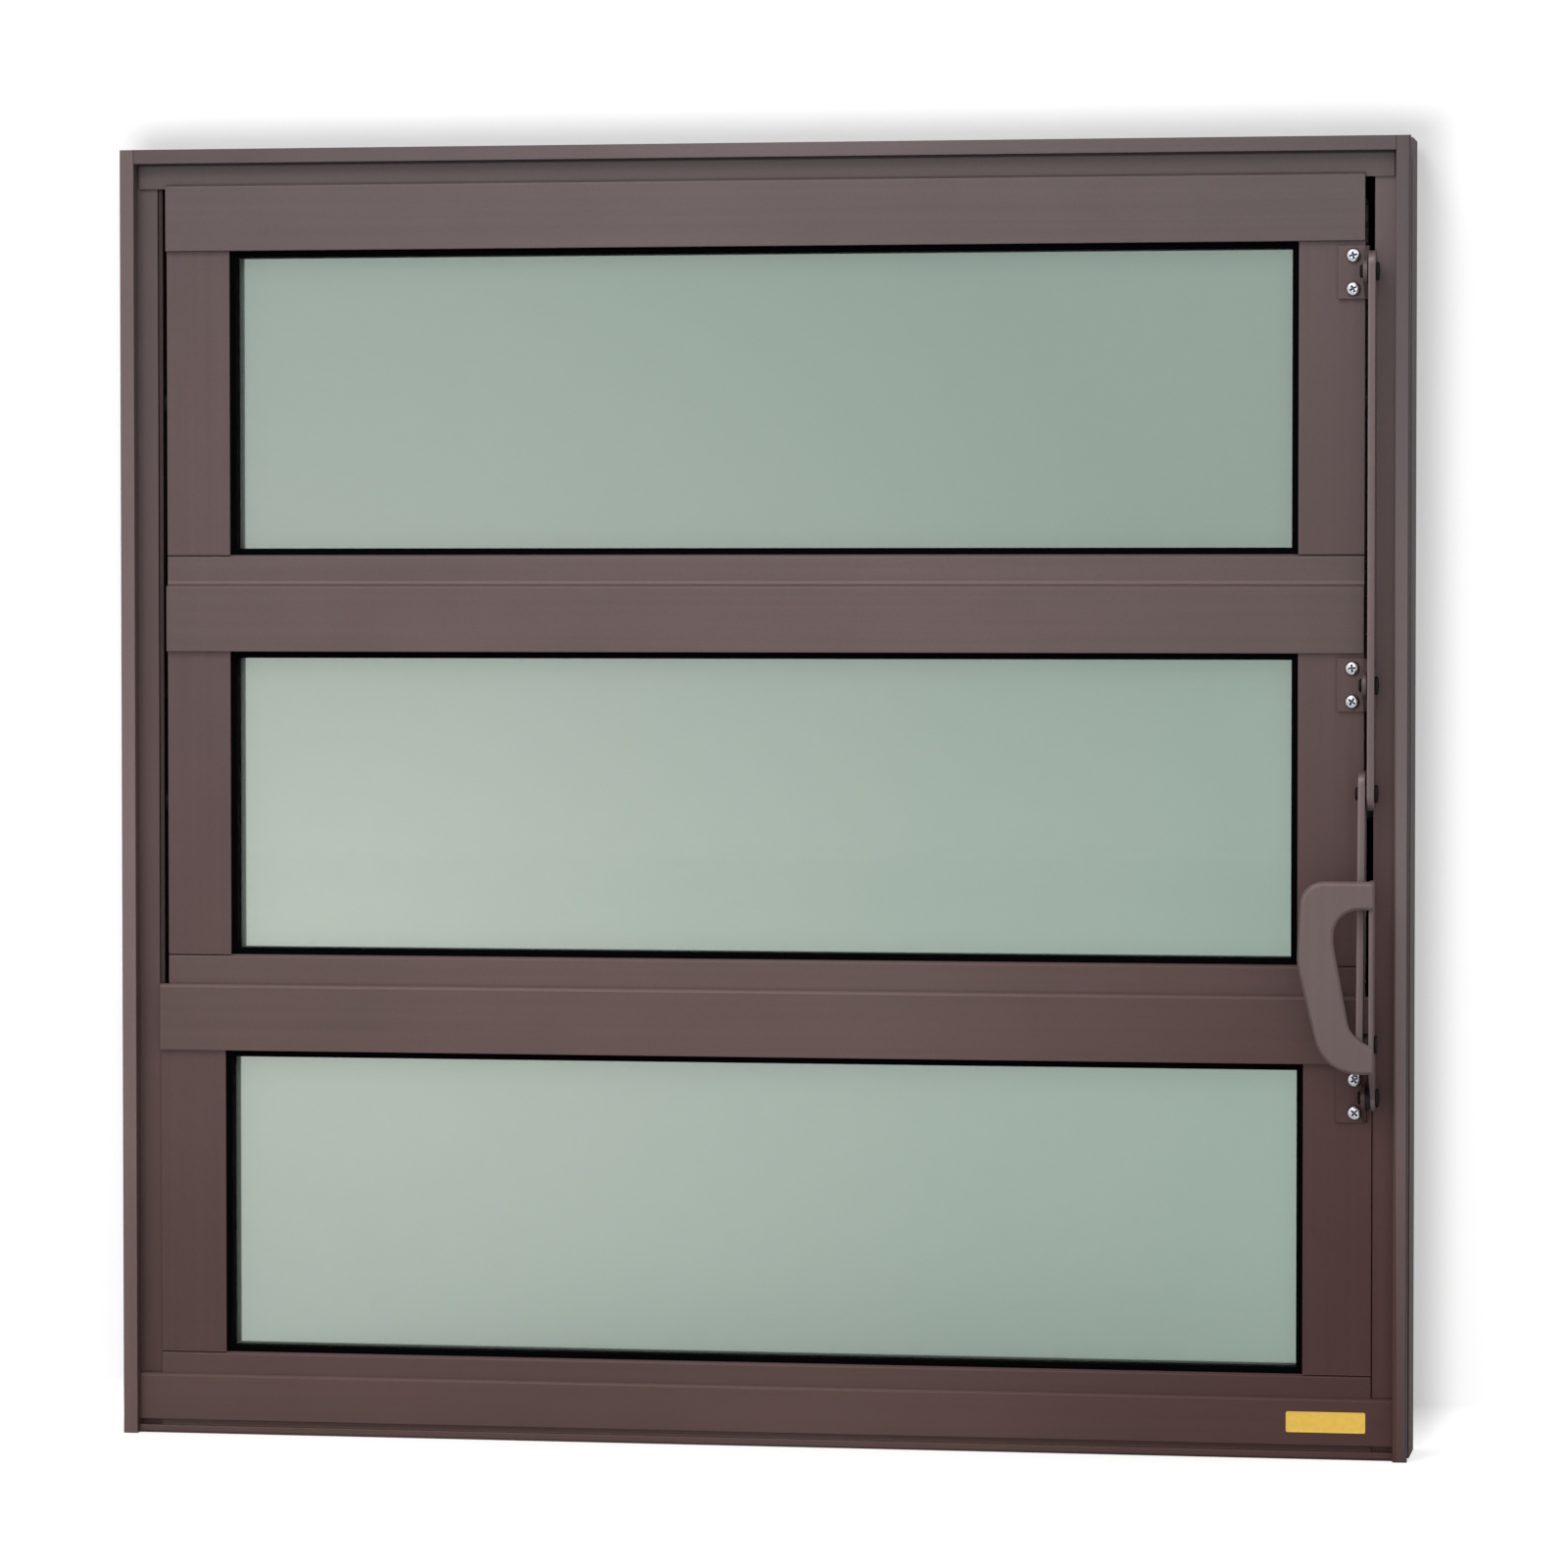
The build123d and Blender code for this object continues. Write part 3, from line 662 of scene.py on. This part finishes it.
rail_bronze = bronze("bronze_rail", BRONZE_TOP, BRONZE_BOTTOM, "X", edge=RAIL_EDGE, far=RAIL_FAR_GAIN,
                     lines=HIGHLIGHT_LINES)
stile_bronze = bronze("bronze_stile", STILE_TOP, STILE_BOTTOM, "Z")
jamb_bronze = bronze("bronze_jamb", JAMB_TOP, JAMB_BOTTOM, "Z", "jamb")
head_bronze = bronze("bronze_head", BRONZE_TOP, BRONZE_BOTTOM, "X", "head")
sill_bronze = bronze("bronze_sill", SILL_BRONZE, SILL_BRONZE, "X", edge=RAIL_EDGE)
fitting_bronze = bronze("bronze_fittings", FITTING_TOP, FITTING_BOTTOM, "Z", painted_corner_shade=False, edge=FITTING_EDGE)
seal = rubber()
nylon = moulded("black_nylon", NYLON, roughness=0.5)
blackened = moulded("black_rivet", BLACKENED, roughness=0.55, metal=0.2)
plating = zinc("zinc_steel")
screw_plating = zinc("zinc_screw", screw=True)
glass = glazing()
joint_shade = moulded("joint_shade", RUBBER, roughness=0.7)
joint_bronze = moulded("joint_bronze", JOINT_BRONZE, roughness=0.6)
lip_bronze = moulded("lip_bronze", LIP_SHADE_BRONZE, roughness=0.6)
sticker = foil()

FINISHES = [
    ("glass", glass), ("gasket", seal), ("brush", seal), ("bushes", nylon), ("washers", nylon),
    ("rivets", blackened), ("screws", plating), ("pins", plating), ("bracket", stile_bronze),
    ("jamb", jamb_bronze), ("frame_head", head_bronze), ("frame_sill", sill_bronze),
    ("rail", rail_bronze), ("stile", stile_bronze), ("", fitting_bronze),
]


def dress_cad_nodes():
    """Each CAD node takes the first finish whose word is in its name."""
    for name, piece in nodes.items():
        finish = next(material for word, material in FINISHES if word in name)
        piece.data.materials.clear()
        piece.data.materials.append(finish)


def put(name, data):
    """Object of a mesh, lamp or camera, in the scene."""
    piece = bpy.data.objects.new(name, data)
    bpy.context.scene.collection.objects.link(piece)
    return piece


def piece_from(mesh, name, body, finish):
    """Object that rides on a body with one finish."""
    mesh.materials.append(finish)
    piece = put(name, mesh)
    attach(piece, body)
    return piece


def lathe(profile, place, turn):
    """Closed bmesh of revolution: profile of (radius, height) in mm, set on place and turned."""
    form = bmesh.new()
    angles = [2 * math.pi * step / LATHE_STEPS for step in range(LATHE_STEPS)]
    rings = []
    for radius, rise in profile:
        turns = angles if radius else [0]
        rings.append([form.verts.new((radius * MM * math.cos(a), radius * MM * math.sin(a), rise * MM))
                      for a in turns])
    for lower, upper in zip(rings, rings[1:]):
        for step in range(LATHE_STEPS):
            after = (step + 1) % LATHE_STEPS
            corners = [lower[step % len(lower)], lower[after % len(lower)],
                       upper[after % len(upper)], upper[step % len(upper)]]
            form.faces.new(list(dict.fromkeys(corners)))
    form.transform(Matrix.Translation(place) @ turn)
    bmesh.ops.recalc_face_normals(form, faces=form.faces)
    for face in form.faces:
        face.smooth = True
    return form


def mesh_of(form, name):
    mesh = bpy.data.meshes.new(name)
    form.to_mesh(mesh)
    form.free()
    return mesh


def merged(forms, name):
    """One mesh from several bmeshes."""
    whole = bmesh.new()
    for form in forms:
        part = mesh_of(form, name + "_part")
        whole.from_mesh(part)
        bpy.data.meshes.remove(part)
    return mesh_of(whole, name)


def cross_cutter(place, turn):
    """Two crossed tapered bars that cut a screw's recess."""
    foot = (RECESS_ARM * RECESS_FOOT_ARM, RECESS_WIDTH * RECESS_FOOT_WIDTH, SCREW_HEIGHT - RECESS_DEPTH)
    mouth = (RECESS_ARM * RECESS_MOUTH, RECESS_WIDTH * RECESS_MOUTH, SCREW_HEIGHT + RECESS_WIDTH)
    arms = []
    for angle in (0, math.pi / 2):
        bar = bmesh.new()
        bmesh.ops.create_cube(bar, size=1.0)
        for corner in bar.verts:
            x, y, level = foot if corner.co.z < 0 else mouth
            corner.co = Vector((math.copysign(x, corner.co.x), math.copysign(y, corner.co.y), level)) * MM
        bar.transform(Matrix.Translation(place) @ turn @ Matrix.Rotation(angle, 4, "Z"))
        arms.append(bar)
    return arms


def cut(mesh, cutters, name):
    """Mesh with the cutters taken out of it."""
    target = put(name, mesh)
    tools = []
    for cutter in cutters:
        tool = put(name + "_tool", mesh_of(cutter, name + "_tool"))
        tools.append(tool)
        step = target.modifiers.new("cut", "BOOLEAN")
        step.operation = "DIFFERENCE"
        step.solver = "EXACT"
        step.object = tool
    graph = bpy.context.evaluated_depsgraph_get()
    result = bpy.data.meshes.new_from_object(target.evaluated_get(graph))
    for spare in [target, *tools]:
        spare_mesh = spare.data
        bpy.data.objects.remove(spare)
        bpy.data.meshes.remove(spare_mesh)
    result.name = name
    return result


def bracket_screws(owner, body):
    """Two pan-head screws with a cross recess, in the place of the plain CAD ones."""
    low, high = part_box(owner + "_bracket_screws")
    x = (low.x + high.x) / 2
    face = low.y + SCREW_HEIGHT * MM
    for number, z in enumerate((low.z + SCREW_HEAD * MM, high.z - SCREW_HEAD * MM), 1):
        place = Vector((x, face, z))
        spin = Matrix.Rotation(random.uniform(0, math.pi / 2), 4, "Z")
        turn = Matrix.Rotation(math.pi / 2, 4, "X") @ spin
        name = f"{owner}_screw_{number}"
        blank = mesh_of(lathe(SCREW_PROFILE, place, turn), name + "_blank")
        screw = piece_from(cut(blank, cross_cutter(place, turn), name), name, body, screw_plating)
        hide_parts(owner + "_bracket_screws")


def rivet(left, right, centre, shank=RIVET_SHANK):
    """Rivet along X between two faces: dished made head on the right, closed head on the left."""
    grip = (right - left) / MM
    profile = [(radius, grip + rise) for radius, rise in MADE_HEAD]
    profile += [(shank, grip), (shank, CLOSED_HEAD[0][1]), *CLOSED_HEAD]
    turn = Matrix.Rotation(math.pi / 2, 4, "Y")
    return lathe(profile, Vector((left, centre.y, centre.z)), turn)


def linkage_rivets():
    """Rivets of the coupler bar and of the lever."""
    plate_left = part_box("leaf_1_bracket")[1].x - PLATE * MM
    bar_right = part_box("coupler_bar")[1].x
    rod_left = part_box("connecting_rod")[0].x
    top = joints["coupler_pivot"]
    second = top - (joints["leaf_1_pivot"] - joints["leaf_2_pivot"])
    forms = [rivet(plate_left, bar_right, place) for place in (top, second)]
    forms.append(rivet(rod_left, bar_right, joints["rod_pivot"]))
    bar_rivets = piece_from(merged(forms, "bar_rivets"), "bar_rivets", "coupler", blackened)
    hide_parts("coupler_rivets")
    low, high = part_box("handle_rivets")
    leg_right = high.x - RIVET_HEIGHT * MM
    link = Vector((0, low.y + RIVET_HEAD * MM, high.z - RIVET_HEAD * MM))
    forms = [rivet(plate_left, leg_right, joints["handle_pivot"]), rivet(rod_left, leg_right, link, LINK_SHANK)]
    lever_rivets = piece_from(merged(forms, "lever_rivets"), "lever_rivets", "handle", blackened)
    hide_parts("handle_rivets")


def slab(low, high):
    """Bmesh box between two corners."""
    form = bmesh.new()
    bmesh.ops.create_cube(form, size=1.0)
    centre = (low + high) / 2
    size = high - low
    for corner in form.verts:
        corner.co = Vector(a * b for a, b in zip(corner.co, size)) + centre
    return form


def joint_line(name, body, across, rise, face, finish):
    """Hairline between two flush extrusions, a little proud of their face."""
    proud = JOINT_PROUD * MM
    form = slab(Vector((across[0], face - proud, rise[0])), Vector((across[1], face + proud, rise[1])))
    piece_from(mesh_of(form, name), name, body, finish)


def joint_lines():
    """Butt joints of bottom rails and stiles, and of head and jambs."""
    half = JOINT_WIDTH * MM / 2
    for owner, body in (("leaf_1", "leaf_1"), ("leaf_2", "leaf_2"), ("fixed", "root")):
        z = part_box(owner + "_bottom_rail")[1].z
        for side in ("left", "right"):
            low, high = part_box(f"{owner}_stile_{side}")
            joint_line(f"{owner}_joint_{side}", body, (low.x, high.x), (z - half, z + half), low.y,
                       joint_bronze)
    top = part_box("frame_head")[1].z
    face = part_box("frame_jamb_right")[0].y
    for side, x in (("left", -FLANGE_EDGE * MM), ("right", FLANGE_EDGE * MM)):
        joint_line(f"head_joint_{side}", "root", (x - half, x + half), (top - HEAD_JOINT * MM, top), face,
                   joint_shade)


def jamb_lip():
    """Thin lip of the left jamb, in the gap beside the leaves, dark with painted shade."""
    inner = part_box("frame_jamb_left")[1].x
    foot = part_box("fixed_top_rail")[1].z
    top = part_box("frame_head")[0].z
    form = slab(Vector((inner - LIP_OVERLAP * MM, LIP_FRONT * MM, foot)),
                Vector((inner + LIP_WIDTH * MM, (LIP_FRONT + LIP_THICKNESS) * MM, top)))
    piece_from(mesh_of(form, "jamb_lip"), "jamb_lip", "root", lip_bronze)


def on_depth(pixel, y):
    """Point where the photograph's pixel meets the plane at y."""
    turn = Matrix.Rotation(CAMERA_YAW, 3, "Z") @ Matrix.Rotation(CAMERA_PITCH, 3, "X")
    middle = PHOTO_PIXELS / 2
    ray = turn @ Vector(((pixel[0] - middle) / FOCAL_PIXELS, 1, (middle - pixel[1]) / FOCAL_PIXELS))
    return CAMERA_PLACE + ray * ((y - CAMERA_PLACE.y) / ray.y)


def blank_label():
    """Plain gold sticker with a raised rim, on the sill's upstand."""
    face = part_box("frame_sill")[0].y + SILL_NOSE * MM
    top_left = on_depth(LABEL_TOP_LEFT, face)
    bottom_right = on_depth(LABEL_BOTTOM_RIGHT, face)
    corner = LABEL_CORNER * MM
    left, right = top_left.x + corner, bottom_right.x - corner
    low, high = bottom_right.z + corner, top_left.z - corner
    form = bmesh.new()
    outline = []
    for quarter, (x, z) in enumerate(((right, high), (left, high), (left, low), (right, low))):
        for step in range(LABEL_CORNER_STEPS + 1):
            angle = math.pi / 2 * (quarter + step / LABEL_CORNER_STEPS)
            outline.append(form.verts.new((x + corner * math.cos(angle), face, z + corner * math.sin(angle))))
    back = form.faces.new(outline)
    front = bmesh.ops.extrude_face_region(form, geom=[back])
    lifted = [item for item in front["geom"] if isinstance(item, bmesh.types.BMVert)]
    bmesh.ops.translate(form, verts=lifted, vec=(0, -LABEL_THICKNESS * MM, 0))
    plate = [item for item in front["geom"] if isinstance(item, bmesh.types.BMFace)]
    bmesh.ops.inset_individual(form, faces=plate, thickness=LABEL_RIM * MM)
    bmesh.ops.inset_individual(form, faces=plate, thickness=LABEL_STEP * MM, depth=-LABEL_SINK * MM)
    bmesh.ops.recalc_face_normals(form, faces=form.faces)
    piece_from(mesh_of(form, "blank_label"), "blank_label", "root", sticker)


def join_shaders(tree, kind, *sources):
    """Add or Mix shader of the given ones."""
    node = add(tree, kind)
    for source, socket in zip(sources, node.inputs):
        feed(tree, source, socket)
    return node.outputs[0]


def stage_material(name, albedo, foot_glow, glow, front_only=False):
    """White surface that keeps soft shadows, save near its foot where a raised glow, painted light, fades them;
    where asked, only the camera meets it, from its front.
    """
    material = bpy.data.materials.new(name)
    material.use_nodes = True
    tree = material.node_tree
    tree.nodes.clear()
    plain = object_place(tree)
    grain = noise(tree, *PAPER_NOISE, plain)
    paper = add(tree, "ShaderNodeBsdfDiffuse")
    colour = blend_colour(tree, grain, (albedo,) * 3, (albedo * PAPER_GAIN,) * 3)
    feed(tree, colour, paper.inputs["Color"])
    path = add(tree, "ShaderNodeLightPath").outputs
    seen = calculate(tree, "MAXIMUM", path["Is Camera Ray"], path["Is Transmission Ray"])
    # Painted light: glow raised near the foot
    rise = spread(tree, apart(tree, plain)["Z"], foot_glow, glow, 0.0, FADE_HEIGHT)
    shine = add(tree, "ShaderNodeEmission")
    feed(tree, WHITE, shine.inputs["Color"])
    feed(tree, multiply(tree, seen, rise), shine.inputs["Strength"])
    surface = join_shaders(tree, "ShaderNodeAddShader", paper.outputs[0], shine.outputs[0])
    if front_only:
        facing = add(tree, "ShaderNodeNewGeometry").outputs["Backfacing"]
        met = multiply(tree, path["Is Camera Ray"], calculate(tree, "SUBTRACT", 1.0, facing))
        clear = add(tree, "ShaderNodeBsdfTransparent").outputs[0]
        surface = join_shaders(tree, "ShaderNodeMixShader", met, clear, surface)
    feed(tree, surface, add(tree, "ShaderNodeOutputMaterial").inputs["Surface"])
    return material


def stage_plane(name, corners, material):
    mesh = bpy.data.meshes.new(name)
    mesh.from_pydata(corners, [], [(0, 1, 2, 3)])
    mesh.materials.append(material)
    piece = put(name, mesh)
    return piece


def floor_and_wall():
    """White floor, and a white wall behind the window; returns the wall."""
    reach = FLOOR_HALF
    floor = stage_material("floor_white", FLOOR_ALBEDO, FLOOR_GLOW, FLOOR_GLOW)
    stage_plane("floor", [(-reach, -reach, 0), (reach, -reach, 0), (reach, reach, 0), (-reach, reach, 0)],
                floor)
    y = cad_box[1].y + WALL_BEHIND
    paint = stage_material("wall_white", WALL_ALBEDO, WALL_FOOT_GLOW, WALL_GLOW, front_only=True)
    return stage_plane("wall", [(-reach, y, 0), (reach, y, 0), (reach, y, reach), (-reach, y, reach)],
                       paint)


def world():
    """White to the camera and in reflections, softer as a light."""
    sky = bpy.data.worlds.new("studio")
    sky.use_nodes = True
    bpy.context.scene.world = sky
    tree = sky.node_tree
    tree.nodes.clear()
    path = add(tree, "ShaderNodeLightPath").outputs
    seen = path["Is Camera Ray"]
    for kind in ("Is Glossy Ray", "Is Transmission Ray"):
        seen = calculate(tree, "MAXIMUM", seen, path[kind])
    light = add(tree, "ShaderNodeBackground")
    feed(tree, WHITE, light.inputs["Color"])
    feed(tree, spread(tree, seen, WORLD_LIGHT, 1.0, 0.0, 1.0), light.inputs["Strength"])
    feed(tree, light.outputs[0], add(tree, "ShaderNodeOutputWorld").inputs["Surface"])


def area_light(name, place, size, power, target=LAMP_TARGET):
    lamp = bpy.data.lights.new(name, "AREA")
    lamp.shape = "DISK"
    lamp.size = size
    lamp.energy = power
    holder = put(name, lamp)
    holder.location = place
    holder.rotation_euler = (Vector(target) - Vector(place)).to_track_quat("-Z", "Y").to_euler()
    holder.visible_camera = False
    return holder


def lights(wall):
    """Soft lamps, one of which lights the wall alone."""
    area_light("key", *KEY)
    area_light("fill", *FILL)
    area_light("rear", *REAR)
    wash = area_light("wall_wash", *WALL_WASH, WASH_TARGET)
    washed = bpy.data.collections.new("washed")
    washed.objects.link(wall)
    wash.light_linking.receiver_collection = washed


def camera():
    """Camera at the photograph's place and angle."""
    view = bpy.data.cameras.new("photo_camera")
    view.sensor_width = SENSOR_WIDTH
    view.lens = SENSOR_WIDTH * FOCAL_PIXELS / PHOTO_PIXELS
    holder = put("photo_camera", view)
    holder.location = CAMERA_PLACE
    holder.rotation_euler = (math.pi / 2 + CAMERA_PITCH, 0, CAMERA_YAW)
    bpy.context.scene.camera = holder


bpy.context.scene.view_settings.view_transform = "Standard"
dress_cad_nodes()
bracket_screws("leaf_1", "leaf_1")
bracket_screws("leaf_2", "leaf_2")
bracket_screws("fixed", "root")
linkage_rivets()
joint_lines()
jamb_lip()
blank_label()
wall = floor_and_wall()
world()
lights(wall)
camera()
